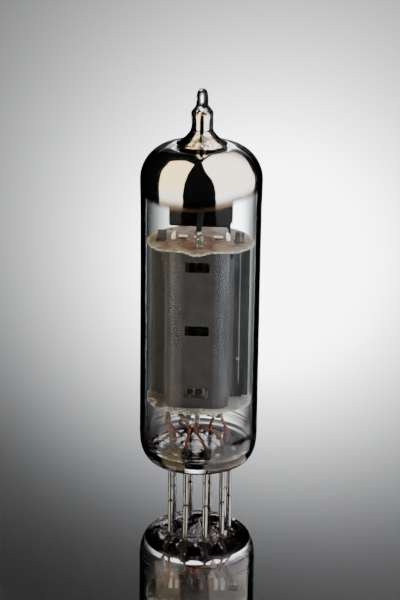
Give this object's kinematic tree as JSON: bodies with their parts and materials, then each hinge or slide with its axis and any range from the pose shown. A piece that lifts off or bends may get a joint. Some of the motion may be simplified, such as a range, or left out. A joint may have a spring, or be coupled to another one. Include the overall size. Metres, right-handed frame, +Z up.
{
  "type": "power pentode tube",
  "caption": "Slim glass vacuum tube with stiff base pins, an exhaust tip on top, a silvered dome and an electrode cage held between two mica plates.",
  "frame": {"origin": "centre of the pin circle, in the plane of the pin tips", "axes": "+Z up the tube to its exhaust tip; the empty place of the pin circle faces -X; the windowed front of the anode faces -Y"},
  "size_m": [0.0222, 0.0222, 0.0781],
  "materials": {
    "clear_glass": "clear, fire polished",
    "getter_film": "dark silver mirror",
    "pin_metal": "bright drawn wire",
    "sealing_wire": "copper clad wire, oxidised red",
    "mica": "milky cleaved sheet",
    "anode_sheet": "carbonised nickel, dull dark grey",
    "nickel": "bare nickel, satin",
    "copper": "drawn copper rod",
    "grid_wire": "fine drawn wire",
    "heater_coating": "white baked alumina",
    "black_plate": "matt carbon black"
  },
  "bodies": {
    "root": {"glass_bulb": "clear_glass", "button_stem": "clear_glass", "getter_mirror": "getter_film", "pin_1": "pin_metal", "pin_2": "pin_metal", "pin_3": "pin_metal", "pin_4": "pin_metal", "pin_5": "pin_metal", "pin_6": "pin_metal", "pin_7": "pin_metal", "pin_8": "pin_metal", "pin_9": "pin_metal", "lead_1": "sealing_wire", "lead_2": "sealing_wire", "lead_3": "sealing_wire", "lead_4": "sealing_wire", "lead_5": "sealing_wire", "lead_6": "sealing_wire", "lead_7": "sealing_wire", "lead_8": "sealing_wire", "lead_9": "sealing_wire", "bottom_mica": "mica", "top_mica": "mica", "anode_front": "anode_sheet", "anode_back": "anode_sheet", "cathode_sleeve": "nickel", "heater": "heater_coating", "control_grid_rods": "copper", "control_grid_winding": "grid_wire", "screen_grid_rods": "nickel", "screen_grid_winding": "grid_wire", "suppressor_grid_rods": "nickel", "suppressor_grid_winding": "grid_wire", "getter_post": "nickel", "getter_ring": "nickel", "radiator_plate": "black_plate", "control_grid_strap": "nickel", "cathode_strap": "nickel", "screen_grid_strap": "nickel", "anode_strap": "nickel", "heater_tabs": "nickel"}
  },
  "joints": []
}
